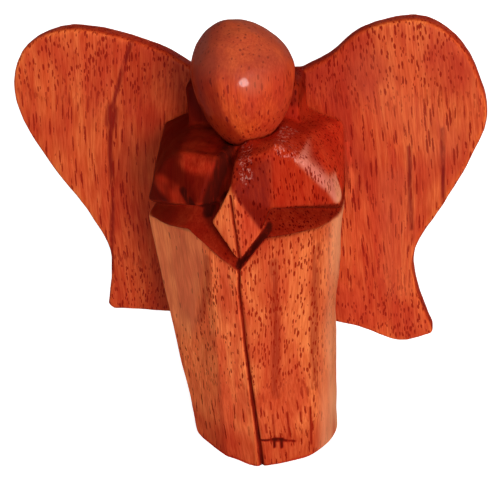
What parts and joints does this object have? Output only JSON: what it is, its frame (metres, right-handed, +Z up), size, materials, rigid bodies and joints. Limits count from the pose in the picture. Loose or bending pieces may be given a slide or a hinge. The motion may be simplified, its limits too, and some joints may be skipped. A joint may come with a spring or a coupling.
{
  "type": "carved wooden angel figurine",
  "caption": "Free-standing carved hardwood angel with praying hands, a plain egg-shaped head and flat wings pegged to the back of a tapering robe.",
  "frame": {"origin": "middle of the robe's flat foot, on the surface the figurine stands on", "axes": "+Z up, the figure faces -Y, +X to the viewer's right"},
  "size_m": [0.0955, 0.0331, 0.0926],
  "materials": {
    "robe_wood": "reddish stained hardwood, glossy varnish",
    "head_wood": "reddish stained hardwood, glossy varnish",
    "wing_wood": "reddish stained hardwood, satin varnish",
    "dowel_wood": "bare turned hardwood"
  },
  "bodies": {
    "root": {"robe_body": "robe_wood", "head": "head_wood", "left_wing": "wing_wood", "right_wing": "wing_wood", "neck_dowel": "dowel_wood", "left_wing_lower_dowel": "dowel_wood", "left_wing_upper_dowel": "dowel_wood", "right_wing_lower_dowel": "dowel_wood", "right_wing_upper_dowel": "dowel_wood"}
  },
  "joints": []
}
